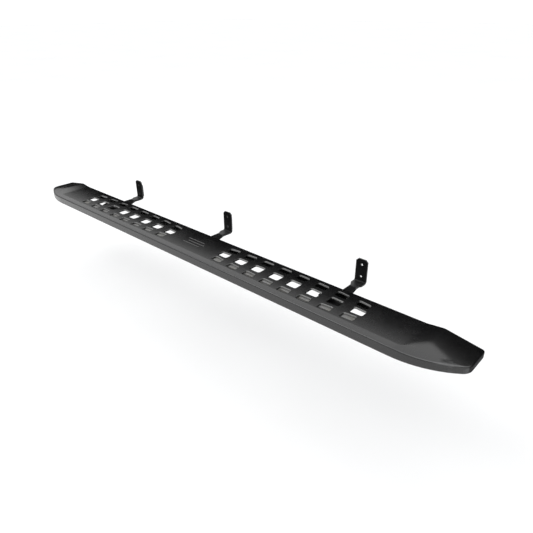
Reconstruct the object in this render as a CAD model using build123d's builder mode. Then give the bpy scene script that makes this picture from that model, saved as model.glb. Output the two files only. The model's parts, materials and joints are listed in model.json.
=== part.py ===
from build123d import *
import math
import os

# Truck running board: a one-piece punched steel step carried by three
# bolt-on brackets that reach under the sill and bolt to its inner wall.
# Frame: +X towards the rear of the truck, +Y inboard (towards the truck),
# +Z up.  Origin: centre of the two-hole pattern of the centre bracket, on
# the face that seats against the vehicle.  All lengths in millimetres.

# ------------------------------------------------------------ board sizes
ROW_Y = -190.0            # middle row of holes, outboard of the seat face
TREAD_Z = -20.0           # tread surface, below the bolt-pattern centre

MID_X = 22.0              # middle of the board, rearward of the origin
HALF_LENGTH = 1076.0
OUTER_Y = ROW_Y - 88.0    # outer face
INNER_Y = ROW_Y + 81.0    # inner skirt face
DEPTH = 33.0              # tread surface to the lowest sheet edge
SHEET = 2.0               # steel sheet thickness
EDGE_R = 4.5              # outside bend radius along the top edges

TAPER_X0 = 880.0          # where the outer face starts to sweep inwards
TAPER_X1, TAPER_Y1 = 996.0, ROW_Y - 65.0
TAPER_X2, TAPER_Y2 = HALF_LENGTH, ROW_Y - 16.0
CORNER_OUT_R = 38.0       # plan radius, outer end corners
CORNER_IN_R = 8.0         # plan radius, inner end corners

RAMP_X = 908.0            # tread starts to kick up
RAMP_R = 80.0             # soft radius there
RIDGE_X = 960.0           # crest of the kick-up
RIDGE_H = 6.5             # crest height above the tread
CREST_R = 40.0            # soft radius over the crest
END_SLOPE = 0.163         # fall of the end facet beyond the crest

BEVEL_Y = ROW_Y - 66.0    # crease between the tread and the outer bevel
BEVEL_SLOPE = 0.184
HIP_X, HIP_Y = 893.0, ROW_Y - 66.8   # start of the hip facet
HIP_SLOPE_X = -0.080
HIP_SLOPE_Y = 0.200

HEM = 12.0                # turned-in bottom flange
HEM_SHIFT = 4.0           # shift of the hem's corners along the tapers
HEM_CORNER_R = 5.0
NOTCH_X = 882.0           # inner skirt is shallow between these stations
NOTCH_FLARE = 13.0        # sideways run of each sloping notch end
SKIRT = 20.0              # depth of the shallow inner skirt
LEDGE_Y = ROW_Y + 50.0    # free edge of the inner bolting ledge
LEDGE_TOP = TREAD_Z - SKIRT + SHEET

# Tread holes: two barrel-shaped groups of 8 columns x 3 rows, drawn down.
# The rows bow apart towards the middle of a group and the middle row is
# the tallest; the middle row also spreads a little further than the others.
HOLE_L = 43.0             # clear length of every hole
HOLE_R = 6.0
HOLE_LIP_R = 2.5
HOLE_DEPTH = 6.0
GROUP_X = 443.0           # centre of each group from mid-length
COLUMNS = (38.5, 118.0, 197.5, 278.0)   # outer and inner rows, from centre
SPREAD = (0.0, 3.0, 5.0, 7.0)           # extra for the middle row
MID_HALF, MID_BOW = 18.0, 3.4           # half height, drop at the last column
ROW_NEAR, ROW_FAR, ROW_BOW = 37.0, 62.0, 8.0

# low edge, high edge, bow of the low edge, bow of the high edge, spreads
ROWS = (
    (-ROW_FAR, -ROW_NEAR, -ROW_BOW, -ROW_BOW, False),
    (-MID_HALF, MID_HALF, -MID_BOW, MID_BOW, True),
    (ROW_NEAR, ROW_FAR, ROW_BOW, ROW_BOW, False),
)

# raised grip bars: centre x from mid-length, centre y
GRIP_BARS = ((-10, ROW_Y - 17), (4, ROW_Y - 1), (-10, ROW_Y + 15))
GRIP_L, GRIP_W, GRIP_H = 88, 5, 0.9

# ------------------------------------------- fits, rail and stiffener sizes
CUT = 1.0                 # how far a cutter runs past the metal
GAP = 0.05                # running clearance between sliding faces
REST_GAP = 0.02           # clearance between faces that rest together
RIB_GAP = 0.05            # clearance at the other edges of the ribs
SIDE_GAP = 0.1            # clearance beside the rail, inside it and at the skirt

# mounting rail under the drawn walls of the outer and middle rows
RAIL_Y = ROW_Y - 29.0
RAIL_W, RAIL_H, RAIL_T = 34.0, 13.95, 1.6
RAIL_R, RAIL_BORE_R = 2.2, 0.6
RAIL_TOP = TREAD_Z - HOLE_DEPTH - 0.03
RAIL_BOT = RAIL_TOP - RAIL_H
RAIL_CENTRE = (RAIL_Y, RAIL_TOP - RAIL_H / 2)   # y, z of the section's middle
RAIL_BORE_W = RAIL_W - 2 * RAIL_T
RAIL_BORE_H = RAIL_H - 2 * RAIL_T
RAIL_SLOT = 8.8
RAIL_HALF = 880.0

PLUG_INSET = 0.4          # how much narrower and lower the cap is than the rail
PLUG_CAP_T, PLUG_CAP_R = 2.5, 2.0
PLUG_STEM_L, PLUG_STEM_R = 12, 0.7

RIB_X = (-800.0, -110.0, 110.0, 800.0)
RIB_TOP = TREAD_Z - SHEET - REST_GAP
RIB_RAIL_TOP = RAIL_TOP + RIB_GAP     # ribs are notched around the rail
RIB_RAIL_BOT = RAIL_BOT + 0.5
BULKHEAD_X = 897.0
BULKHEAD_TOP = TREAD_Z - SHEET - 0.6
BULKHEAD_H = 28.2
BULKHEAD_HOLE_R = 7

# ------------------------------------------------------------ bracket sizes
STATIONS = (("front", -612.0), ("centre", 0.0), ("rear", 638.0))
ENDS = (("front", -1), ("rear", 1))
NECK_HALF = 12.5          # half width of the arm where it leaves the board
FLANGE_HALF = 22.0        # half width of the bolting flange
ARM_T = 5.0
ARM_TOP = RAIL_BOT - GAP
ARM_BOT = ARM_TOP - ARM_T
ARM_END_Y = RAIL_Y - 30   # blank end, before the plan outline trims it
BLANK_HALF = 60           # half width of the blank
SEAT_Y = 0.0              # face that seats on the vehicle
FLANGE_TOP = 42.0
FLANGE_CHAMFER = 8
BEND_IN_R, BEND_OUT_R = 6, 11
PLAN_R = 4                # plan corner radius
WALL_T = 4.0              # bracket side walls
WALL_R = 4
BODY_HOLE_R = 4.5
BODY_SPACING = 44.0
LEDGE_BOLT_Y = ROW_Y + 68.0
LEDGE_BOLT_X = 35.0
TRAVEL_X, TRAVEL_Y = 10.0, 8.0   # adjustment each way
SLOT_W = 9.0

# half of the T-shaped plan: half width, y
BRACKET_PLAN = (
    (18, RAIL_Y - 21), (26, RAIL_Y - 13),
    (40, ROW_Y + 4), (54, ROW_Y + 30), (54, ROW_Y + 82),
    (NECK_HALF, ROW_Y + 104), (NECK_HALF, SEAT_Y - 40),
    (FLANGE_HALF, SEAT_Y - 22), (FLANGE_HALF, SEAT_Y + ARM_T + 1),
)

# side wall of the arm and bend: y, z
SIDE_WALL = (
    (ROW_Y + 104, ARM_BOT + 1), (ROW_Y + 114, ARM_BOT - 11),
    (ROW_Y + 132, ARM_BOT - 11), (ROW_Y + 152, ARM_BOT - 5),
    (SEAT_Y - 6, ARM_BOT - 5), (SEAT_Y + 15, ARM_BOT + 12),
    (SEAT_Y + 15, FLANGE_TOP - 24), (SEAT_Y + 4, FLANGE_TOP - 12),
    (SEAT_Y + 4, ARM_BOT + 7), (SEAT_Y - 2, ARM_BOT + 1),
)

# ----------------------------------------------------------- fastener sizes
BOLT_R = 4.0              # M8
HEX_R = 13.0 / math.sqrt(3)      # corner radius of a 13 mm hexagon
TIP_CHAMFER = 0.8
HEX_CHAMFER = 0.6
T_HEAD_L, T_HEAD_H, T_HEAD_R = 20, 4.5, 2
T_HEAD_SIDE = 1.4         # how much narrower the T-head is than the rail bore
BOLT_FLANGE_R, BOLT_FLANGE_T, BOLT_FLANGE_CHAMFER = 8.5, 1.4, 0.5
BOLT_HEAD_H = 5.0

WASHER_R, WASHER_HOLE_R, WASHER_T = 10.5, 4.2, 1.6
LOCK_R, LOCK_HOLE_R, LOCK_T = 7.2, 4.1, 2.0
SPLIT_X, SPLIT_L, SPLIT_W, SPLIT_TURN = 5.5, 5, 1.2, 20   # lock washer split
NUT_H = 6.5
THREAD_GAP = 0.05

# stack under the arm, from the top down
WASHER_BOT = ARM_BOT - REST_GAP - WASHER_T
LOCK_BOT = WASHER_BOT - LOCK_T
NUT_BOT = LOCK_BOT - NUT_H
BOLT_END = NUT_BOT - 3.0


# ----------------------------------------------------------------- helpers
def level(z):
    """Horizontal plane at height z, centred on the board's length."""
    return Plane(origin=(MID_X, 0, z))


def upright(y):
    """Lengthwise upright plane at y, centred on the board's length."""
    return Plane(origin=(MID_X, y, 0), x_dir=(1, 0, 0), z_dir=(0, -1, 0))


def across(x):
    """Crosswise upright plane, x from the middle of the board."""
    return Plane.YZ.offset(MID_X + x)


def ledge_spots(station):
    """Plan positions of the two ledge bolts of a bracket."""
    return [(station + side * LEDGE_BOLT_X, LEDGE_BOLT_Y) for side in (-1, 1)]


def nut_spots(station):
    """Plan positions of all three bolts of a bracket."""
    return [(station, RAIL_Y)] + ledge_spots(station)


def save(part, name):
    part.label = name
    export_step(part, f"parts/{name}.step")


# -------------------------------------------------------------- step shell
def make_board_form(inset, low_z, edge_r):
    """Solid of the board's outer form, moved inwards by inset."""
    drop = inset * 1.02       # vertical move of the sloping facets
    past_end = HALF_LENGTH + 25
    with BuildPart() as form:
        with BuildSketch(level(low_z)):
            with BuildLine():
                outer = Line((-TAPER_X0, OUTER_Y), (TAPER_X0, OUTER_Y))
                rear_sweep = TangentArc(outer @ 1, (TAPER_X1, TAPER_Y1), tangent=(1, 0))
                rear_tip = TangentArc(rear_sweep @ 1, (TAPER_X2, TAPER_Y2),
                                      tangent=rear_sweep % 1)
                rear_end = Line(rear_tip @ 1, (HALF_LENGTH, INNER_Y))
                inner = Line(rear_end @ 1, (-HALF_LENGTH, INNER_Y))
                front_end = Line(inner @ 1, (-TAPER_X2, TAPER_Y2))
                front_sweep = TangentArc((-TAPER_X0, OUTER_Y), (-TAPER_X1, TAPER_Y1),
                                         tangent=(-1, 0))
                TangentArc(front_sweep @ 1, front_end @ 1, tangent=front_sweep % 1)
            make_face()
            for end_x in (-HALF_LENGTH, HALF_LENGTH):
                fillet(vertices().sort_by_distance((end_x, TAPER_Y2, 0))[0],
                       CORNER_OUT_R)
                fillet(vertices().sort_by_distance((end_x, INNER_Y, 0))[0],
                       CORNER_IN_R)
            if inset:
                offset(amount=-inset, mode=Mode.REPLACE)
        extrude(amount=TREAD_Z + 20 - low_z)
        # side view: flat tread, kick-up, crest, falling end facet
        with BuildSketch(upright(0)):
            top = TREAD_Z - inset
            tip = RIDGE_H - END_SLOPE * (past_end - RIDGE_X)
            with BuildLine():
                Polyline((-past_end, low_z - CUT), (-past_end, top + tip),
                         (-RIDGE_X, top + RIDGE_H), (-RAMP_X, top),
                         (RAMP_X, top), (RIDGE_X, top + RIDGE_H),
                         (past_end, top + tip), (past_end, low_z - CUT),
                         close=True)
            make_face()
            for side in (-1, 1):
                for x, radius in ((RIDGE_X, CREST_R - inset), (RAMP_X, RAMP_R + inset)):
                    fillet(vertices().filter_by_position(
                        Axis.X, side * x - 1, side * x + 1), radius)
        extrude(amount=400, both=True, mode=Mode.INTERSECT)
        # outer bevel, and the hip facet at each end
        split(bisect_by=Plane(origin=(MID_X, BEVEL_Y, TREAD_Z - drop),
                              z_dir=(0, -BEVEL_SLOPE, 1)), keep=Keep.BOTTOM)
        for side in (-1, 1):
            split(bisect_by=Plane(origin=(MID_X + side * HIP_X, HIP_Y, TREAD_Z - drop),
                                  z_dir=(-HIP_SLOPE_X * side, -HIP_SLOPE_Y, 1)),
                  keep=Keep.BOTTOM)
        # round the edges that the top faces share with the sides
        tops = [face for face in faces() if face.normal_at().Z > 0.5]
        sides = [face for face in faces() if abs(face.normal_at().Z) < 0.2]
        side_edges = [edge for face in sides for edge in face.edges()]
        rim = [edge for face in tops for edge in face.edges()
               if any(edge.is_same(other) for other in side_edges)]
        fillet(rim, edge_r)
    return form.part


def hole_outlines(grow):
    """Four corners of every tread hole, moved outwards by grow."""
    quads = []
    for group in (-GROUP_X, GROUP_X):
        for side in (-1, 1):
            for column, extra in zip(COLUMNS, SPREAD):
                for low, high, low_bow, high_bow, spreads in ROWS:
                    x = side * (column + (extra if spreads else 0))
                    reach = x / COLUMNS[-1]    # 1 at the last column
                    tilt = 2 * HOLE_L * reach / COLUMNS[-1]

                    def bowed(y, bow, end):
                        return ROW_Y + y - bow * (reach * reach + end * tilt)

                    start = group + (x - HOLE_L / 2 - grow)
                    stop = group + (x + HOLE_L / 2 + grow)
                    quads.append([(start, bowed(low, low_bow, -1) - grow),
                                  (stop, bowed(low, low_bow, 1) - grow),
                                  (stop, bowed(high, high_bow, 1) + grow),
                                  (start, bowed(high, high_bow, -1) + grow)])
    return quads


def hole_sketch(grow):
    """All tread holes as rounded outlines in the current sketch."""
    for quad in hole_outlines(grow):
        Polygon(*quad, align=None)
    fillet(vertices(), HOLE_R + grow)


def make_step_shell():
    outer_form = make_board_form(0.0, TREAD_Z - DEPTH, EDGE_R)
    inner_form = make_board_form(SHEET, TREAD_Z - DEPTH + SHEET, EDGE_R - SHEET)
    with BuildPart() as shell:
        add(outer_form)
        add(inner_form, mode=Mode.SUBTRACT)
        # bottom opening, leaving a turned-in hem
        with BuildSketch(level(TREAD_Z - DEPTH - CUT)):
            with BuildLine():
                rim = SHEET + HEM
                end_x = HALF_LENGTH - rim
                tip_y = TAPER_Y2 + rim + HEM_SHIFT
                taper_x = TAPER_X1 - HEM_SHIFT
                Polyline((-end_x, INNER_Y - rim), (-end_x, tip_y),
                         (-taper_x, TAPER_Y1 + rim), (-TAPER_X0, OUTER_Y + rim),
                         (TAPER_X0, OUTER_Y + rim), (taper_x, TAPER_Y1 + rim),
                         (end_x, tip_y), (end_x, INNER_Y - rim), close=True)
            make_face()
            fillet(vertices(), HEM_CORNER_R)
        extrude(amount=SHEET + 2 * CUT, mode=Mode.SUBTRACT)
        # the inner skirt is shallow between the ends, so brackets pass under it
        with BuildSketch(upright(LEDGE_Y - 20)):
            with BuildLine():
                flared_x = NOTCH_X + NOTCH_FLARE
                Polyline((-flared_x, TREAD_Z - DEPTH - CUT),
                         (-NOTCH_X, TREAD_Z - SKIRT), (NOTCH_X, TREAD_Z - SKIRT),
                         (flared_x, TREAD_Z - DEPTH - CUT), close=True)
            make_face()
        extrude(amount=-60, mode=Mode.SUBTRACT)
        # inner bolting ledge, turned in from the foot of the shallow skirt
        with BuildSketch(level(TREAD_Z - SKIRT)):
            ledge_root = INNER_Y - SHEET / 2
            with Locations((0, (LEDGE_Y + ledge_root) / 2)):
                Rectangle(2 * NOTCH_X, ledge_root - LEDGE_Y)
        extrude(amount=SHEET)
        # ledge slots: the brackets shift fore and aft along them
        with BuildSketch(Plane.XY.offset(TREAD_Z - SKIRT - CUT)):
            with Locations(*[spot for _, station in STATIONS
                             for spot in ledge_spots(station)]):
                SlotOverall(2 * TRAVEL_X + SLOT_W, SLOT_W)
        extrude(amount=SHEET + 2 * CUT, mode=Mode.SUBTRACT)
        # punched tread holes with a drawn-down wall
        with BuildSketch(level(TREAD_Z - HOLE_DEPTH)):
            hole_sketch(SHEET)
        extrude(amount=HOLE_DEPTH - SHEET / 2)
        with BuildSketch(level(TREAD_Z - HOLE_DEPTH - CUT)):
            hole_sketch(0)
        extrude(amount=HOLE_DEPTH + 2 * CUT, mode=Mode.SUBTRACT)
        lips = [edge for edge in edges().filter_by_position(
            Axis.Z, TREAD_Z - 0.01, TREAD_Z + 0.01)
            if edge.length < HOLE_L + 1
            and abs(edge.center().Y - ROW_Y) < ROW_FAR + 2
            and abs(abs(edge.center().X - MID_X) - GROUP_X) < COLUMNS[-1] + 40]
        fillet(lips, HOLE_LIP_R)
        # plain raised grip bars in the middle of the tread
        with BuildSketch(level(TREAD_Z)):
            with Locations(*GRIP_BARS):
                SlotOverall(GRIP_L, GRIP_W)
        extrude(amount=GRIP_H)
    return shell.part


# ----------------------------------------------------- rail and stiffeners
def make_outer_rail():
    """Rounded box section with a slot along its underside."""
    with BuildPart() as rail:
        with BuildSketch(across(-RAIL_HALF)):
            with Locations(RAIL_CENTRE):
                RectangleRounded(RAIL_W, RAIL_H, RAIL_R)
                RectangleRounded(RAIL_BORE_W, RAIL_BORE_H, RAIL_BORE_R,
                                 mode=Mode.SUBTRACT)
            with Locations((RAIL_Y, RAIL_BOT)):
                Rectangle(RAIL_SLOT, 4 * RAIL_T, mode=Mode.SUBTRACT)
        extrude(amount=2 * RAIL_HALF)
    return rail.part


def make_rail_plug(side):
    """Cap over the rail end with a stem inside it; side is -1 front, 1 rear."""
    cap_face, stem_face = (0, -1) if side < 0 else (-1, 0)
    with BuildPart() as plug:
        with BuildSketch(across(side * RAIL_HALF)):
            with Locations(RAIL_CENTRE):
                RectangleRounded(RAIL_W - PLUG_INSET, RAIL_H - PLUG_INSET, PLUG_CAP_R)
        extrude(amount=side * PLUG_CAP_T)
        fillet(faces().sort_by(Axis.X)[cap_face].edges(), 1.0)
        with BuildSketch(across(side * RAIL_HALF)):
            with Locations(RAIL_CENTRE):
                RectangleRounded(RAIL_BORE_W - SIDE_GAP, RAIL_BORE_H - SIDE_GAP,
                                 PLUG_STEM_R)
        extrude(amount=-side * PLUG_STEM_L)
        chamfer(faces().sort_by(Axis.X)[stem_face].edges(), 0.5)
    return plug.part


def make_ribs(outline):
    """A crosswise plate of the given y, z outline at every rib station."""
    with BuildPart() as ribs:
        for x in RIB_X:
            with BuildSketch(across(x - SHEET / 2)):
                with BuildLine():
                    Polyline(*outline, close=True)
                make_face()
            extrude(amount=SHEET)
    return ribs.part


def make_outer_ribs():
    rail_side = RAIL_Y - RAIL_W / 2 - SIDE_GAP
    skin = OUTER_Y + SHEET
    return make_ribs([
        (RAIL_Y - RIB_GAP, RIB_TOP), (RAIL_Y - RIB_GAP, RIB_RAIL_TOP),
        (rail_side, RIB_RAIL_TOP), (rail_side, RIB_RAIL_BOT),
        (ROW_Y - 60, RIB_TOP - 24), (skin + RIB_GAP, RIB_TOP - 24),
        (skin + RIB_GAP, RIB_TOP - 8), (skin + 4, RIB_TOP - 3.9),
        (BEVEL_Y, RIB_TOP - 0.1)])


def make_inner_ribs():
    rail_side = RAIL_Y + RAIL_W / 2 + SIDE_GAP
    skin = INNER_Y - SHEET
    return make_ribs([
        (RAIL_Y + RIB_GAP, RIB_TOP), (skin - 4, RIB_TOP),
        (skin - RIB_GAP, RIB_TOP - 4), (skin - RIB_GAP, LEDGE_TOP + REST_GAP),
        (LEDGE_Y - 2, LEDGE_TOP + REST_GAP), (rail_side, RIB_RAIL_BOT),
        (rail_side, RIB_RAIL_TOP), (RAIL_Y + RIB_GAP, RIB_RAIL_TOP)])


def make_bulkhead(side):
    """Crosswise plate with two holes; side is -1 front, 1 rear."""
    z = BULKHEAD_TOP
    outer_skin = OUTER_Y + SHEET
    inner_skin = INNER_Y - SHEET
    with BuildPart() as bulkhead:
        with BuildSketch(across(side * BULKHEAD_X)):
            with BuildLine():
                Polyline((outer_skin + 1.2, z - 9), (outer_skin + 6, z - 5),
                         (BEVEL_Y + 6, z - 0.5), (BEVEL_Y + 20, z),
                         (inner_skin - 4, z), (inner_skin - SIDE_GAP, z - 4),
                         (inner_skin - SIDE_GAP, z - 22),
                         (inner_skin - 8, z - BULKHEAD_H),
                         (outer_skin + 1.2, z - BULKHEAD_H), close=True)
            make_face()
            with Locations((ROW_Y - 35, z - 15), (ROW_Y + 30, z - 15)):
                Circle(BULKHEAD_HOLE_R, mode=Mode.SUBTRACT)
        extrude(amount=side * SHEET)
    return bulkhead.part


# --------------------------------------------------- brackets and fasteners
def make_bracket(station):
    flange_back = SEAT_Y + ARM_T
    with BuildPart() as bracket:
        # side view: flat arm bent up into the flange that seats on the truck
        with BuildSketch(Plane.YZ.offset(station - BLANK_HALF)):
            with BuildLine():
                Polyline((ARM_END_Y, ARM_BOT), (flange_back, ARM_BOT),
                         (flange_back, FLANGE_TOP), (SEAT_Y, FLANGE_TOP),
                         (SEAT_Y, ARM_TOP), (ARM_END_Y, ARM_TOP), close=True)
            make_face()
            fillet(vertices().sort_by_distance((SEAT_Y, ARM_TOP, 0))[0], BEND_IN_R)
            fillet(vertices().sort_by_distance((flange_back, ARM_BOT, 0))[0], BEND_OUT_R)
        extrude(amount=2 * BLANK_HALF)
        # plan view: T-shaped, wide where the arm bolts to the ledge
        with BuildSketch(Plane.XY.offset(ARM_BOT - CUT)):
            with BuildLine():
                Polyline(*[(station + half, y) for half, y in BRACKET_PLAN],
                         *[(station - half, y) for half, y in reversed(BRACKET_PLAN)],
                         close=True)
            make_face()
            fillet(vertices().filter_by_position(Axis.Y, ARM_END_Y, SEAT_Y - 20), PLAN_R)
        extrude(amount=FLANGE_TOP - ARM_BOT + 2 * CUT, mode=Mode.INTERSECT)
        chamfer(edges().filter_by(Axis.Y).group_by(Axis.Z)[-1], FLANGE_CHAMFER)
        # side walls that stiffen the arm and the bend
        for side in (-1, 1):
            with BuildSketch(Plane.YZ.offset(station + side * NECK_HALF)):
                with BuildLine():
                    Polyline(*SIDE_WALL, close=True)
                make_face()
                # selection is in the sketch's own frame, where Y is height
                fillet(vertices().sort_by(Axis.Y)[:2], WALL_R)
            extrude(amount=-side * WALL_T)
        # crosswise slots: the board shifts in and out on its bolts
        with BuildSketch(Plane.XY.offset(ARM_BOT - CUT)):
            with Locations(*nut_spots(station)):
                SlotOverall(2 * TRAVEL_Y + SLOT_W, SLOT_W, rotation=90)
        extrude(amount=ARM_T + 2 * CUT, mode=Mode.SUBTRACT)
        # two bolt holes to the vehicle
        with BuildSketch(Plane.XZ.offset(-SEAT_Y + CUT)):
            with Locations((station, -BODY_SPACING / 2), (station, BODY_SPACING / 2)):
                Circle(BODY_HOLE_R)
        extrude(amount=-ARM_T - 2 * CUT, mode=Mode.SUBTRACT)
    return bracket.part


def make_t_bolt(station):
    """T-head bolt: the head runs inside the rail."""
    seat = RAIL_BOT + RAIL_T + GAP
    with BuildPart() as bolt:
        with BuildSketch(Plane.XY.offset(seat)):
            with Locations((station, RAIL_Y)):
                RectangleRounded(T_HEAD_L, RAIL_BORE_W - T_HEAD_SIDE, T_HEAD_R)
        extrude(amount=T_HEAD_H)
        chamfer(faces().sort_by(Axis.Z)[-1].edges(), TIP_CHAMFER)
        with BuildSketch(Plane.XY.offset(seat)):
            with Locations((station, RAIL_Y)):
                Circle(BOLT_R)
        extrude(amount=BOLT_END - seat)
        chamfer(faces().sort_by(Axis.Z)[0].edges(), TIP_CHAMFER)
    return bolt.part


def make_ledge_bolts(station):
    """Hex flange bolts through the ledge."""
    seat = LEDGE_TOP + GAP
    spots = ledge_spots(station)
    with BuildPart() as bolts:
        with BuildSketch(Plane.XY.offset(seat)):
            with Locations(*spots):
                Circle(BOLT_FLANGE_R)
        extrude(amount=BOLT_FLANGE_T)
        chamfer(faces().filter_by(Axis.Z).sort_by(Axis.Z)[-2:].edges(),
                BOLT_FLANGE_CHAMFER)
        with BuildSketch(Plane.XY.offset(seat + BOLT_FLANGE_T)):
            with Locations(*spots):
                RegularPolygon(HEX_R, 6)
        extrude(amount=BOLT_HEAD_H)
        chamfer(faces().filter_by(Axis.Z).sort_by(Axis.Z)[-2:].edges(), HEX_CHAMFER)
        with BuildSketch(Plane.XY.offset(seat)):
            with Locations(*spots):
                Circle(BOLT_R)
        extrude(amount=BOLT_END - seat)
        chamfer(faces().filter_by(Axis.Z).sort_by(Axis.Z)[:2].edges(), TIP_CHAMFER)
    return bolts.part


def make_flat_washers(station):
    with BuildPart() as washers:
        with BuildSketch(Plane.XY.offset(WASHER_BOT)):
            with Locations(*nut_spots(station)):
                Circle(WASHER_R)
                Circle(WASHER_HOLE_R, mode=Mode.SUBTRACT)
        extrude(amount=WASHER_T)
    return washers.part


def make_lock_washers(station):
    spots = nut_spots(station)
    with BuildPart() as washers:
        with BuildSketch(Plane.XY.offset(LOCK_BOT)):
            with Locations(*spots):
                Circle(LOCK_R)
                Circle(LOCK_HOLE_R, mode=Mode.SUBTRACT)
            with Locations(*[(x + SPLIT_X, y) for x, y in spots]):
                Rectangle(SPLIT_L, SPLIT_W, rotation=SPLIT_TURN, mode=Mode.SUBTRACT)
        extrude(amount=LOCK_T)
    return washers.part


def make_hex_nuts(station):
    spots = nut_spots(station)
    with BuildPart() as nuts:
        with BuildSketch(Plane.XY.offset(NUT_BOT)):
            with Locations(*spots):
                RegularPolygon(HEX_R, 6)
        extrude(amount=NUT_H)
        chamfer(faces().filter_by(Axis.Z).edges(), HEX_CHAMFER)
        with BuildSketch(Plane.XY.offset(NUT_BOT - CUT)):
            with Locations(*spots):
                Circle(BOLT_R + THREAD_GAP)
        extrude(amount=NUT_H + 2 * CUT, mode=Mode.SUBTRACT)
    return nuts.part


# ------------------------------------------------------------------ output
os.makedirs("parts", exist_ok=True)

save(make_step_shell(), "step_shell")
save(make_outer_rail(), "outer_rail")
save(make_outer_ribs(), "outer_ribs")
save(make_inner_ribs(), "inner_ribs")
for end, side in ENDS:
    save(make_rail_plug(side), f"rail_plug_{end}")
    save(make_bulkhead(side), f"end_bulkhead_{end}")

for name, station in STATIONS:
    save(make_bracket(station), f"bracket_{name}")
    save(make_t_bolt(station), f"t_bolt_{name}")
    save(make_ledge_bolts(station), f"ledge_bolts_{name}")
    save(make_flat_washers(station), f"flat_washers_{name}")
    save(make_lock_washers(station), f"lock_washers_{name}")
    save(make_hex_nuts(station), f"hex_nuts_{name}")
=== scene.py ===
"""Vehicle side step: a long black tread board with a rail and ribs below it, on three bolted brackets.

The board runs along X with its front end at -X. The vehicle stands on the +Y (inboard) side
and -Y is outboard. Z is up. All lengths are in metres.
"""
import json
import math

import bpy
import bmesh
from mathutils import Matrix, Vector

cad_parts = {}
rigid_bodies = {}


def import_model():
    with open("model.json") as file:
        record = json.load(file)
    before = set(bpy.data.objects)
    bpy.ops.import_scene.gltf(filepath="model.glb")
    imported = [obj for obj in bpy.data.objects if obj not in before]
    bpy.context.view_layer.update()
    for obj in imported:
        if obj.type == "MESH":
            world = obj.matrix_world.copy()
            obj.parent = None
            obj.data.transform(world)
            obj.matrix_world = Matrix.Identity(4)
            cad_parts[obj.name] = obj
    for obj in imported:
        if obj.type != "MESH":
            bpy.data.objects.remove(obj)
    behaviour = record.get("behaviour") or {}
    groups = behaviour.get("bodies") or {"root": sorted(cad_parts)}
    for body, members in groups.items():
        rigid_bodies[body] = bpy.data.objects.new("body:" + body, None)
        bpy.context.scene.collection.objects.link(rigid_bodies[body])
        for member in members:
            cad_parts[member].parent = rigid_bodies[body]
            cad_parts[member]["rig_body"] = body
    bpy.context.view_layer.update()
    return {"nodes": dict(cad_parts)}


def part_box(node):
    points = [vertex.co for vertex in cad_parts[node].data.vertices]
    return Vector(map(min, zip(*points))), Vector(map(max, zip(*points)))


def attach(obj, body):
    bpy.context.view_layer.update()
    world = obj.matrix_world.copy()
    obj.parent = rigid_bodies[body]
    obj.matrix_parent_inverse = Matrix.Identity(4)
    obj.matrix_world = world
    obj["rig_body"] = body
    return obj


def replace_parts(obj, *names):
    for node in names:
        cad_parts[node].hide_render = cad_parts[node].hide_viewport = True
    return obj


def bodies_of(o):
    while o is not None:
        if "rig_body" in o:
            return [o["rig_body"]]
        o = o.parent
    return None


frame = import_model()
NODES = frame["nodes"]

ENDS = ("front", "centre", "rear")    # the three bracket stations
MID_X = 0.022                         # middle of the board's length
ROW_Y = -0.190                        # reference line of the tread's rows of holes
TREAD_Z = -0.020                      # top of the tread
GROUND_Z = TREAD_Z - 0.40


def add_object(name, data):
    made = bpy.data.objects.new(name, data)
    bpy.context.scene.collection.objects.link(made)
    return made


# ------------------------------------------------------------ shader trees
class Shader:
    """A node tree with an output, a surface shader and one short method per kind of node."""

    def __init__(self, owner, output, surface):
        owner.use_nodes = True
        self.tree = owner.node_tree
        self.tree.nodes.clear()
        out = self.node(output)
        self.surface = self.node(surface)
        self.feed(out, {0: self.surface.outputs[0]})

    def feed(self, node, inputs):
        """Link or set each input, whichever its value calls for."""
        for key, value in inputs.items():
            if isinstance(value, bpy.types.NodeSocket):
                self.tree.links.new(value, node.inputs[key])
            else:
                node.inputs[key].default_value = value

    def node(self, kind, inputs=None, **settings):
        made = self.tree.nodes.new("ShaderNode" + kind)
        for name, value in settings.items():
            setattr(made, name, value)
        self.feed(made, inputs or {})
        return made

    def use_object_coords(self):
        source = self.node("TexCoord").outputs["Object"]
        self.coords = self.node("Mapping", {"Vector": source}).outputs[0]

    def noise(self, scale, detail, rough=0.5):
        return self.node("TexNoise", {"Scale": scale, "Detail": detail, "Roughness": rough,
                                      "Vector": self.coords}).outputs["Fac"]

    def voronoi(self, scale, feature="F1"):
        return self.node("TexVoronoi", {"Scale": scale, "Vector": self.coords},
                         feature=feature).outputs["Distance"]

    def remap(self, value, over, to=(0.0, 1.0)):
        """Carry the range `over` linearly to the range `to`, clamped."""
        return self.node("MapRange", {
            "From Min": over[0], "From Max": over[1],
            "To Min": to[0], "To Max": to[1], "Value": value}).outputs[0]

    def math(self, operation, first, second):
        return self.node("Math", {0: first, 1: second}, operation=operation).outputs[0]

    def add(self, first, second):
        return self.math("ADD", first, second)

    def mul(self, first, second):
        return self.math("MULTIPLY", first, second)

    def mix(self, factor, first, second):
        return self.node("Mix", {0: factor, 6: first, 7: second}, data_type="RGBA").outputs[2]

    def bump(self, height, strength, distance, normal):
        return self.node("Bump", {"Strength": strength, "Distance": distance,
                                  "Height": height, "Normal": normal}).outputs[0]

    def bevel(self, radius, samples):
        return self.node("Bevel", {"Radius": radius}, samples=samples)

    def geometry(self):
        return self.node("NewGeometry").outputs

    def xyz(self, vector):
        return self.node("SeparateXYZ", {0: vector}).outputs


def principled(name):
    material = bpy.data.materials.new(name)
    shader = Shader(material, "OutputMaterial", "BsdfPrincipled")
    shader.use_object_coords()
    return material, shader


def scaled(colour, red, green, blue):
    return (colour[0] * red, colour[1] * green, colour[2] * blue, 1)


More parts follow.
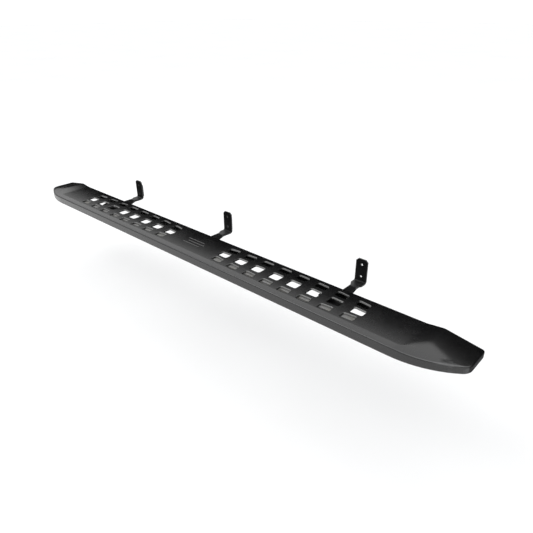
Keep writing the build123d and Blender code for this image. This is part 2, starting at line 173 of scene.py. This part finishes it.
# --------------------------------------------------------------- materials
def painted_hole_wall_light(shader, mid, colour):
    """Painted light: a lit grey painted on the pressed hole walls that face outboard."""
    geometry = shader.geometry()
    normal = shader.xyz(geometry["Normal"])
    place = shader.xyz(geometry["Position"])
    outboard = shader.remap(normal[1], over=(-0.35, -0.75))
    past_edge = shader.remap(place[1], over=(ROW_Y - 0.066, ROW_Y - 0.058))
    wall = shader.mul(outboard, past_edge)
    # painted light full near the top of the wall, weaker lower down, none below the holes
    wall = shader.mul(wall, shader.remap(
        place[2], over=(TREAD_Z - 0.0075, TREAD_Z - 0.0045), to=(0.35, 1.0)))
    wall = shader.mul(wall, shader.remap(
        place[2], over=(TREAD_Z - 0.012, TREAD_Z - 0.010)))
    # less painted light on the innermost row
    wall = shader.mul(wall, shader.remap(
        place[1], over=(ROW_Y + 0.036, ROW_Y + 0.046), to=(1.0, 0.55)))
    tone = shader.mix(shader.remap(mid, over=(0.3, 0.7)),
                      (0.15, 0.15, 0.148, 1), (0.22, 0.22, 0.216, 1))
    return shader.mix(wall, colour, tone)


def hip_radius(shader, soft):
    """Bevel radius that widens where the hip facets at both ends melt into the tread."""
    extra = 0.021
    place = shader.xyz(shader.geometry()["Position"])
    along = shader.math("ABSOLUTE", shader.math("SUBTRACT", place[0], MID_X), 0.0)
    wide = shader.mul(shader.remap(along, over=(0.885, 0.930)),
                      shader.remap(place[1], over=(ROW_Y - 0.058, ROW_Y - 0.042)))
    fade = shader.mul(
        shader.remap(place[1], over=(ROW_Y + 0.040, ROW_Y + 0.060), to=(1.0, 0.0)),
        shader.remap(along, over=(1.030, 1.050), to=(1.0, 0.0)))
    return shader.add(shader.mul(shader.mul(wide, fade), extra), soft)


def powder_coat(name, base, rough, grain, dust, soft, ior, tread=False):
    """Satin powder coat: tiny pebbled grain, slow sheen drift and a breath of dust on top.

    grain scales the relief, dust is the cover on faces that look up, soft is the radius that
    edges are shaded with; tread adds painted light on hole walls and the step shell's soft hips.
    """
    material, shader = principled(name)
    slow = shader.noise(scale=7.0, detail=3.0)
    mid = shader.noise(scale=60.0, detail=5.0, rough=0.6)
    pebble = shader.noise(scale=1500.0, detail=2.0, rough=0.6)
    cell = shader.voronoi(scale=900.0, feature="SMOOTH_F1")

    # black with a slow drift, then dust as a patchy film with specks
    colour = shader.mix(shader.remap(slow, over=(0.35, 0.65)), base,
                        scaled(base, red=1.35, green=1.35, blue=1.4))
    up = shader.remap(shader.xyz(shader.geometry()["Normal"])[2], over=(0.6, 1.0))
    speck = shader.remap(shader.noise(scale=900.0, detail=3.0, rough=0.6), over=(0.62, 0.80))
    film = shader.remap(mid, over=(0.35, 0.8), to=(0.15, 1.0))
    speck_share = 0.12
    cover = shader.mul(up, shader.mul(film, dust))
    cover = shader.add(cover, shader.mul(speck, shader.mul(up, dust * speck_share)))
    colour = shader.mix(cover, colour, (0.30, 0.29, 0.27, 1))
    if tread:
        # painted light on the hole walls that face outboard
        colour = painted_hole_wall_light(shader, mid, colour)

    # sheen drift, rougher where the dust lies
    dust_roughness = 0.5
    sheen = shader.add(shader.remap(slow, over=(0.3, 0.7), to=(rough - 0.03, rough + 0.04)),
                       shader.remap(mid, over=(0.3, 0.7), to=(-0.02, 0.03)))
    sheen = shader.add(sheen, shader.mul(cover, dust_roughness))

    edges = shader.bevel(radius=soft, samples=8)
    if tread:
        shader.feed(edges, {"Radius": hip_radius(shader, soft)})
    cell_share, pebble_share = 0.6, 0.5
    relief = shader.add(shader.mul(cell, cell_share), shader.mul(pebble, pebble_share))
    normal = shader.bump(relief, strength=0.22 * grain, distance=0.00022,
                         normal=edges.outputs[0])
    orange_peel = shader.noise(scale=170.0, detail=2.0)
    normal = shader.bump(orange_peel, strength=0.06 * grain, distance=0.0006, normal=normal)
    shader.feed(shader.surface, {"Base Color": colour, "Roughness": sheen, "IOR": ior,
                                 "Normal": normal})
    return material


def zinc(name, tint, rough):
    """Zinc-plated steel: soft spangle, passivate tint and light grime."""
    material, shader = principled(name)
    spangle = shader.voronoi(scale=260.0)
    slow = shader.noise(scale=35.0, detail=4.0, rough=0.6)
    colour = shader.mix(shader.remap(slow, over=(0.35, 0.7)), tint,
                        scaled(tint, red=0.82, green=0.80, blue=0.72))
    grime = shader.remap(shader.noise(scale=90.0, detail=6.0, rough=0.7),
                         over=(0.5, 0.8), to=(0.0, 0.5))
    colour = shader.mix(grime, colour, scaled(tint, red=0.3, green=0.29, blue=0.27))
    grime_roughness = 0.35
    sheen = shader.add(
        shader.remap(spangle, over=(0.0, 0.6), to=(rough - 0.05, rough + 0.09)),
        shader.mul(grime, grime_roughness))
    edges = shader.bevel(radius=0.0004, samples=6)
    normal = shader.bump(shader.noise(scale=1200.0, detail=3.0, rough=0.6),
                         strength=0.15, distance=0.0001, normal=edges.outputs[0])
    shader.feed(shader.surface, {"Base Color": colour, "Metallic": 0.92,
                                 "Roughness": sheen, "Normal": normal})
    return material


def plastic(name, base, rough):
    """Moulded black plastic with a fine grain."""
    material, shader = principled(name)
    slow = shader.noise(scale=40.0, detail=3.0)
    colour = shader.mix(shader.remap(slow, over=(0.3, 0.7)), base,
                        scaled(base, red=1.5, green=1.5, blue=1.5))
    sheen = shader.remap(slow, over=(0.3, 0.7), to=(rough - 0.05, rough + 0.06))
    grain = shader.noise(scale=1400.0, detail=2.0)
    edges = shader.bevel(radius=0.0006, samples=6)
    normal = shader.bump(grain, strength=0.2, distance=0.00015, normal=edges.outputs[0])
    shader.feed(shader.surface, {"Base Color": colour, "Roughness": sheen, "Normal": normal})
    return material


COAT = powder_coat("satin_powder_coat", base=(0.0026, 0.0026, 0.0028, 1), rough=0.24,
                   grain=1.0, dust=0.005, soft=0.003, ior=1.74, tread=True)
BRACKET = powder_coat("bracket_powder_coat", base=(0.004, 0.004, 0.0043, 1), rough=0.40,
                      grain=1.3, dust=0.006, soft=0.0012, ior=1.6)
ECOAT = powder_coat("matt_e_coat", base=(0.02, 0.02, 0.021, 1), rough=0.55,
                    grain=0.8, dust=0.012, soft=0.0006, ior=1.5)
RAIL = zinc("dull_zinc_rail", tint=(0.26, 0.26, 0.262, 1), rough=0.5)
BOLT = zinc("black_zinc_bolts", tint=(0.11, 0.11, 0.108, 1), rough=0.32)
SPRING = zinc("phosphated_spring_steel", tint=(0.17, 0.17, 0.175, 1), rough=0.40)
PLUG = plastic("moulded_plug", base=(0.02, 0.02, 0.021, 1), rough=0.5)
WELD = powder_coat("coated_weld", base=(0.006, 0.006, 0.0064, 1), rough=0.36,
                   grain=1.0, dust=0.01, soft=0.0003, ior=1.6)

# ------------------------------------------------------ paint on CAD pieces
FINISH_BY_NAME = {"step_shell": COAT, "outer_rail": RAIL}
FINISH_BY_PREFIX = (
    ("outer_ribs", ECOAT), ("inner_ribs", ECOAT), ("end_bulkhead", ECOAT),
    ("rail_plug", PLUG), ("bracket", BRACKET), ("lock_washers", SPRING),
)


def finish_of(name):
    if name in FINISH_BY_NAME:
        return FINISH_BY_NAME[name]
    for prefix, material in FINISH_BY_PREFIX:
        if name.startswith(prefix):
            return material
    return BOLT


def paint(part, material):
    if not part.material_slots:
        part.data.materials.append(material)
    for slot in part.material_slots:
        slot.material = material


for node_name in NODES:
    paint(NODES[node_name], finish_of(node_name))


# ------------------------------------------------------------ mesh helpers
def loft(mesh, rings, closed=False):
    """Skin a list of equal-length point rings, with ends capped or joined up."""
    rows = [[mesh.verts.new(point) for point in ring] for ring in rings]
    count = len(rows[0])
    spans = list(zip(rows, rows[1:]))
    if closed:
        spans.append((rows[-1], rows[0]))
    for row, after in spans:
        for i in range(count):
            j = (i + 1) % count
            mesh.faces.new((row[i], row[j], after[j], after[i]))
    if not closed:
        mesh.faces.new(rows[0][::-1])
        mesh.faces.new(rows[-1])


def piece(name, mesh, material, body, sharp):
    """Finish a mesh as a smooth object that rides on a body; sharp is in degrees."""
    bmesh.ops.recalc_face_normals(mesh, faces=mesh.faces)
    data = bpy.data.meshes.new(name)
    mesh.to_mesh(data)
    mesh.free()
    data.materials.append(material)
    made = add_object(name, data)
    for face in data.polygons:
        face.use_smooth = True
    data.set_sharp_from_angle(angle=math.radians(sharp))
    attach(made, body)
    return made


def body_of(node):
    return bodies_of(NODES[node])[0]


def stand_in(name, mesh, material, node, sharp):
    """A piece that takes the place of a CAD node."""
    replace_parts(piece(name, mesh, material, body_of(node), sharp), node)


def polar(x, y, z, radius, angle):
    return (x + radius * math.cos(angle), y + radius * math.sin(angle), z)


def circle(x, y, z, radius, count):
    return [polar(x, y, z, radius, 2 * math.pi * i / count) for i in range(count)]


# --------------------------------------------------------------- fasteners
SHANK_R = 0.004            # M8
THREAD_PITCH = 0.00125
THREAD_DEPTH = 0.00068
HEX_APOTHEM = 0.0065       # half the width across flats
HEX_CROWN = HEX_APOTHEM * 0.965
CONE_SLOPE = 0.577         # tangent of 30 degrees
NUT_BORE_R = 0.0038
NUT_SINK = 0.0006          # countersink at each mouth of the bore
WASHER_R = (0.0041, 0.0072)
FLANGE_R = 0.0085
FLANGE_HEAD_H = 0.0064     # flange seat to top of head


def threaded_shank(mesh, x, y, top, tip, plain):
    """M8 shank: plain under the head, a rolled helical thread, a chamfer at the tip."""
    count, rows_per_turn = 28, 6
    chamfer, chamfer_slope = 0.0009, 0.9
    steps = int(round((top - tip) / (THREAD_PITCH / rows_per_turn)))
    rings = []
    for k in range(steps + 1):
        z = top + (tip - top) * k / steps
        ring = []
        for i in range(count):
            turn = ((top - z) / THREAD_PITCH + i / count) % 1.0
            cut = THREAD_DEPTH * (1 - abs(2 * turn - 1)) if z < top - plain else 0.0
            radius = SHANK_R - cut - max(0.0, chamfer - (z - tip)) * chamfer_slope
            ring.append(polar(x, y, z, radius, 2 * math.pi * i / count))
        rings.append(ring)
    loft(mesh, rings)


def hex_prism(mesh, x, y, bottom, top, turn, bore=None, both=True):
    """Hexagon with its corners turned back by 30 degree cones, at the top or at both ends,
    and a bore with countersunk mouths when bore is given."""
    count = 72

    def profile(angle):
        off_flat = (angle - turn) % (math.pi / 3) - math.pi / 6
        radius = HEX_APOTHEM / math.cos(off_flat)
        drop = (radius - HEX_CROWN) * CONE_SLOPE
        points = [(HEX_CROWN, bottom), (radius, bottom + (drop if both else 0.0)),
                  (radius, top - drop), (HEX_CROWN, top)]
        if bore:
            points = [(bore, bottom + NUT_SINK), (bore + NUT_SINK, bottom), *points,
                      (bore + NUT_SINK, top), (bore, top - NUT_SINK)]
        return points

    columns = []
    for i in range(count):
        angle = 2 * math.pi * i / count
        columns.append([polar(x, y, z, radius, angle) for radius, z in profile(angle)])
    loft(mesh, list(zip(*columns)), closed=bool(bore))


def spring_washer(mesh, x, y, bottom, top, turn):
    """Split ring whose two ends stand slightly apart in height."""
    count, gap, lift, edge = 60, math.radians(13), 0.00035, 0.00018
    inner, outer = WASHER_R
    height = top - bottom - lift
    # section: radius, height above the ring's underside
    section = [(inner + edge, 0), (outer - edge, 0), (outer, edge), (outer, height - edge),
               (outer - edge, height), (inner + edge, height),
               (inner, height - edge), (inner, edge)]
    rings = []
    for i in range(count + 1):
        angle = turn + gap / 2 + (2 * math.pi - gap) * i / count
        base = bottom + lift * i / count
        rings.append([polar(x, y, base + rise, radius, angle) for radius, rise in section])
    loft(mesh, rings)


def tee_head(mesh, x, y, half_x, half_y, top):
    """Rectangular head with rounded corners and a small chamfer round its top."""
    corner_r, chamfer, height = 0.002, 0.0008, 0.0045
    # sign of x, sign of y, start angle in degrees
    corners = ((1, 1, 0), (-1, 1, 90), (-1, -1, 180), (1, -1, 270))
    rings = []
    for z, inset in ((top - height, 0.0), (top - chamfer, 0.0), (top, chamfer)):
        radius = corner_r - inset * 0.5
        ring = []
        for side_x, side_y, start in corners:
            centre_x = x + side_x * (half_x - inset - radius)
            centre_y = y + side_y * (half_y - inset - radius)
            for j in range(7):
                ring.append(polar(centre_x, centre_y, z, radius, math.radians(start + 15 * j)))
        rings.append(ring)
    loft(mesh, rings)


def nuts(end, spots):
    low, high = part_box("hex_nuts_" + end)
    washer_low, washer_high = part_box("flat_washers_" + end)
    first_turn = (washer_low.x + washer_high.x) / 2    # differs from bracket to bracket
    mesh = bmesh.new()
    for k, (x, y) in enumerate(spots):
        hex_prism(mesh, x, y, low.z, high.z, turn=0.35 * k + first_turn, bore=NUT_BORE_R)
    stand_in("nuts_fine_" + end, mesh, BOLT, "hex_nuts_" + end, sharp=28)


def spring_washers(end, spots):
    low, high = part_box("lock_washers_" + end)
    mesh = bmesh.new()
    for k, (x, y) in enumerate(spots):
        spring_washer(mesh, x, y, low.z, high.z, turn=1.1 + 1.9 * k)
    stand_in("spring_washers_fine_" + end, mesh, SPRING, "lock_washers_" + end, sharp=35)


def flange_bolts(end, spots, top, tip):
    seat = top - FLANGE_HEAD_H
    # flange outline: height above the seat, radius
    flange = ((0.0, 0.0080), (0.0002, FLANGE_R), (0.0009, FLANGE_R), (0.0022, 0.0068))
    # shallow tapered disc inside the top of the head: depth below the top, radius
    disc = ((0.0010, 0.0036), (0.0002, 0.0042))
    mesh = bmesh.new()
    for k, (x, y) in enumerate(spots):
        loft(mesh, [circle(x, y, seat + rise, radius, 48) for rise, radius in flange])
        hex_prism(mesh, x, y, seat + 0.0013, top, turn=0.5 * k, both=False)
        loft(mesh, [circle(x, y, top - depth, radius, 32) for depth, radius in disc])
        threaded_shank(mesh, x, y, seat + 0.0005, tip, plain=0.0042)
    stand_in("flange_bolts_fine_" + end, mesh, BOLT, "ledge_bolts_" + end, sharp=28)


def tee_bolt(end, spot, low, high):
    mesh = bmesh.new()
    tee_head(mesh, *spot, (high.x - low.x) / 2, (high.y - low.y) / 2, high.z)
    threaded_shank(mesh, *spot, high.z - 0.0040, low.z, plain=0.0022)
    stand_in("tee_bolt_fine_" + end, mesh, BOLT, "t_bolt_" + end, sharp=28)


def fasteners(end):
    """One T bolt and two flange bolts per bracket, each with a nut and a spring washer."""
    ledge_low, ledge_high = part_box("ledge_bolts_" + end)
    tee_low, tee_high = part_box("t_bolt_" + end)
    tee_spot = ((tee_low.x + tee_high.x) / 2, (tee_low.y + tee_high.y) / 2)
    ledge_y = (ledge_low.y + ledge_high.y) / 2
    ledge_spots = [(ledge_low.x + FLANGE_R, ledge_y), (ledge_high.x - FLANGE_R, ledge_y)]
    spots = [tee_spot] + ledge_spots
    nuts(end, spots)
    spring_washers(end, spots)
    flange_bolts(end, ledge_spots, ledge_high.z, ledge_low.z)
    tee_bolt(end, tee_spot, tee_low, tee_high)


for end in ENDS:
    fasteners(end)

# -------------------------------------------------------------- weld beads
# half widths of the beads
WIDE_BEAD, BEAD, RAIL_BEAD = 0.0016, 0.0015, 0.0014
SKIN = 0.002               # from the shell's outer faces in to its welds
UNDER_Z = TREAD_Z - SKIN
RIB_HALF = 0.001           # half a rib's thickness


def bead(mesh, start, end, radius, seed):
    """Stack-of-coins weld: a scalloped round run with rounded ends.
    The seed shifts the rhythm of the coins."""
    start = Vector(start)
    run = Vector(end) - start
    length = run.length
    along = run.normalized()
    side = along.cross(Vector((0.31, 0.17, 0.93))).normalized()
    up = along.cross(side).normalized()
    coin = radius * 0.9
    count = 12
    steps = max(8, int(length / (coin / 5)))
    rings = []
    for k in range(steps + 1):
        travel = length * k / steps
        phase = (travel / coin + 0.13 * math.sin(seed + 9 * travel / length)) % 1.0
        bulge = radius * (0.84 + 0.16 * math.sqrt(max(0.0, 1 - (2 * phase - 1) ** 2)))
        to_tip = min(travel, length - travel)
        if to_tip < radius:
            bulge *= math.sqrt(max(0.03, 1 - (1 - to_tip / radius) ** 2))
        ring = []
        for i in range(count):
            angle = 2 * math.pi * i / count
            lag = -0.35 * coin * (1 - abs(math.cos(angle)))
            ring.append(start + along * (min(max(travel + lag, 0), length))
                        + side * bulge * math.cos(angle) + up * bulge * math.sin(angle))
        rings.append(ring)
    loft(mesh, rings)


def bead_y(mesh, x, z, span, radius, seed):
    """A bead along Y over span = (start, end)."""
    bead(mesh, (x, span[0], z), (x, span[1], z), radius, seed)


def bead_z(mesh, x, y, span, radius, seed):
    """A bead along Z over span = (start, end)."""
    bead(mesh, (x, y, span[0]), (x, y, span[1]), radius, seed)


def bracket_welds(end):
    node = "bracket_" + end
    low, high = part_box(node)
    middle = (low.x + high.x) / 2
    arm_under = min(vert.co.z for vert in NODES[node].data.vertices
                    if vert.co.y < low.y + 0.02)
    mesh = bmesh.new()
    for side in (-1, 1):
        x = middle + side * 0.0085
        # the two side walls to the underside of the arm, in stitches
        for span in ((-0.072, -0.056), (-0.045, -0.029), (-0.020, -0.006)):
            bead_y(mesh, x, arm_under, span, WIDE_BEAD, seed=side + span[0] * 90)
        # and up the flange near the inboard end
        for span in ((-0.024, -0.010), (0.000, 0.012)):
            bead_z(mesh, x, high.y - 0.010, span, BEAD, seed=span[0] * 70)
    piece("bracket_welds_" + end, mesh, WELD, body_of(node), sharp=60)


def rib_welds():
    """Beads on both faces of four ribs, to the tread, the outboard wall and the rail."""
    shell_low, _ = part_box("step_shell")
    rib_low, rib_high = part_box("inner_ribs")
    rail_low, rail_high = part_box("outer_rail")
    mesh = bmesh.new()
    for rib_x in (rib_low.x + RIB_HALF, MID_X - 0.110, MID_X + 0.110, rib_high.x - RIB_HALF):
        for side in (-1, 1):
            x = rib_x + side * RIB_HALF
            for span in ((-0.166, -0.146), (-0.138, -0.118)):
                bead_y(mesh, x, UNDER_Z, span, BEAD, seed=rib_x + span[0])
            bead_y(mesh, x, UNDER_Z, (-0.253, -0.233), BEAD, seed=rib_x)
            bead_z(mesh, x, shell_low.y + SKIN, (-0.043, -0.031), BEAD, seed=rib_x)
            for rail_y in (rail_low.y, rail_high.y):
                bead_z(mesh, x, rail_y, (-0.038, -0.032), RAIL_BEAD, seed=rib_x + rail_y)
    piece("rib_welds", mesh, WELD, "board", sharp=60)


def bulkhead_welds():
    """Beads round the inner face of the bulkhead at each end of the board."""
    shell_low, shell_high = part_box("step_shell")
    mesh = bmesh.new()
    for end, side in (("front", -1), ("rear", 1)):
        low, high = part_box("end_bulkhead_" + end)
        x = low.x if side > 0 else high.x
        for y in (-0.246, -0.214, -0.182, -0.150):
            bead_y(mesh, x, UNDER_Z - 0.0004, (y, y + 0.018), WIDE_BEAD, seed=y * 50)
        bead_z(mesh, x, shell_high.y - SKIN, (-0.040, -0.028), BEAD, seed=side)
        bead_z(mesh, x, shell_low.y + 0.0022, (-0.046, -0.034), BEAD, seed=side)
    piece("bulkhead_welds", mesh, WELD, "board", sharp=60)


for end in ENDS:
    bracket_welds(end)
rib_welds()
bulkhead_welds()


# ------------------------------------------------------------------- stage
def floor_material():
    material, shader = principled("studio_floor")
    colour = shader.mix(shader.remap(shader.noise(scale=1.5, detail=4.0), over=(0.3, 0.7)),
                        (0.89, 0.89, 0.89, 1), (0.91, 0.91, 0.91, 1))
    # painted shade: mirrors see the floor darken to grey beyond 1.6 m
    reach = shader.node("VectorMath", {0: shader.coords}, operation="LENGTH")
    rays = shader.node("LightPath")
    far = shader.mul(rays.outputs["Is Glossy Ray"],
                     shader.remap(reach.outputs["Value"], over=(1.6, 4.0)))
    colour = shader.mix(far, colour, (0.22, 0.22, 0.22, 1))
    shader.feed(shader.surface, {"Base Color": colour, "Roughness": 0.9,
                                 "Specular IOR Level": 0.1})
    return material


def studio_floor():
    data = bpy.data.meshes.new("studio_floor")
    mesh = bmesh.new()
    bmesh.ops.create_grid(mesh, x_segments=4, y_segments=4, size=40.0)
    bmesh.ops.translate(mesh, verts=mesh.verts, vec=(0, 0, GROUND_Z))
    mesh.to_mesh(data)
    mesh.free()
    floor = add_object("studio_floor", data)
    data.materials.append(floor_material())


def card(name, corners, axis, stops):
    """A glowing card that only mirrors see.
    Its glow follows stops of (position, radiance) along one axis."""
    data = bpy.data.meshes.new(name)
    data.from_pydata(corners, [], [(0, 1, 2, 3)])
    made = add_object(name, data)
    material = bpy.data.materials.new(name)
    shader = Shader(material, "OutputMaterial", "Emission")
    position = shader.xyz(shader.geometry()["Position"])[axis]
    low, high = stops[0][0], stops[-1][0]
    peak = max(radiance for _, radiance in stops)

    ramp = shader.node("FloatCurve")
    curve = ramp.mapping.curves[0]
    points = [((place - low) / (high - low), radiance / peak) for place, radiance in stops]
    curve.points[0].location = points[0]
    curve.points[1].location = points[-1]
    for point in points[1:-1]:
        curve.points.new(*point)
    ramp.mapping.update()
    shader.feed(ramp, {"Value": shader.remap(position, over=(low, high))})
    shader.feed(shader.surface, {"Strength": shader.mul(ramp.outputs[0], peak)})

    data.materials.append(material)
    made.visible_camera = False
    made.visible_diffuse = False
    made.visible_shadow = False
    made.visible_transmission = False


def sill_card():
    """Stands where a vehicle's sill would: dark low down, pale door above."""
    left, right, y, top = -1.8, 2.2, -0.045, TREAD_Z + 0.42
    # z, radiance
    stops = [
        (GROUND_Z, 0.40), (TREAD_Z - 0.20, 0.22), (TREAD_Z - 0.05, 0.10), (TREAD_Z, 0.0),
        (TREAD_Z + 0.09, 0.02), (TREAD_Z + 0.13, 0.20), (TREAD_Z + 0.17, 0.66),
        (TREAD_Z + 0.22, 1.10), (TREAD_Z + 0.29, 1.50), (TREAD_Z + 0.33, 1.50),
        (TREAD_Z + 0.38, 1.05), (top, 0.90)]
    card("sill_card", [(left, y, GROUND_Z), (right, y, GROUND_Z),
                       (right, y, top), (left, y, top)], axis=2, stops=stops)


def apron_card():
    """Lies outboard of the board, just over the floor, brighter towards -X."""
    left, right, outer, inner, z = -3.4, 1.9, -2.6, -0.36, GROUND_Z + 0.012
    # x, radiance
    stops = [(left, 1.60), (-1.96, 1.48), (-1.05, 1.16), (-0.24, 1.00), (0.47, 0.96),
             (0.9, 0.90), (right, 0.92)]
    card("apron_card", [(left, outer, z), (right, outer, z),
                        (right, inner, z), (left, inner, z)], axis=0, stops=stops)


studio_floor()
sill_card()
apron_card()


# ------------------------------------------------------------------- light
def studio_world():
    """Even sky; mirrors also see a bright patch overhead and walls that darken."""
    sky_level = 1.12
    patch_level = 1.4
    patch_direction = Vector((0.31, -0.21, 0.93)).normalized()
    horizon_level = 0.20
    world = bpy.data.worlds.new("studio")
    bpy.context.scene.world = world
    shader = Shader(world, "OutputWorld", "Background")
    # Incoming points back along the ray, so upward rays have negative z
    incoming = shader.geometry()["Incoming"]
    toward_patch = shader.node("VectorMath", {0: incoming, 1: -patch_direction},
                               operation="DOT_PRODUCT").outputs["Value"]
    glossy = shader.node("LightPath").outputs["Is Glossy Ray"]
    glow = shader.mul(shader.remap(toward_patch, over=(0.82, 0.96), to=(0.0, patch_level)),
                      glossy)
    walls = shader.remap(shader.xyz(incoming)[2], over=(-0.03, -0.60),
                         to=(horizon_level, 1.0))
    walls = shader.add(shader.mul(glossy, walls), shader.math("SUBTRACT", 1.0, glossy))
    shader.feed(shader.surface, {0: (0.99, 0.995, 1.0, 1),
                                 1: shader.add(glow, shader.mul(walls, sky_level))})


def key_softbox():
    place, target = Vector((-1.5, -2.2, 3.4)), Vector((0, -0.2, 0))
    light = bpy.data.lights.new("key_softbox", "AREA")
    light.energy = 40
    light.shape = "RECTANGLE"
    light.size = 3.0
    light.size_y = 2.0
    lamp = add_object("key_softbox", light)
    lamp.location = place
    lamp.rotation_euler = (target - place).to_track_quat("-Z", "Y").to_euler()


studio_world()
key_softbox()
bpy.context.scene.view_settings.view_transform = "Standard"
bpy.context.scene.view_settings.look = "None"


# ------------------------------------------------------------------ camera
def camera():
    """Looks down at the board from outboard, past its +X end."""
    eye = (1.35318 + MID_X, -1.09330 + ROW_Y, 0.80189 + TREAD_Z)
    # the camera's own axes
    right = (0.743202, 0.669049, -0.004943)
    up = (-0.309325, 0.350141, 0.884149)
    back = (0.593270, -0.655572, 0.467179)
    data = bpy.data.cameras.new("camera")
    data.sensor_width = 36.0
    data.lens = 33.380578
    data.clip_end = 200
    made = add_object("camera", data)
    made.matrix_world = Matrix((*zip(right, up, back, eye), (0, 0, 0, 1)))
    bpy.context.scene.camera = made


camera()
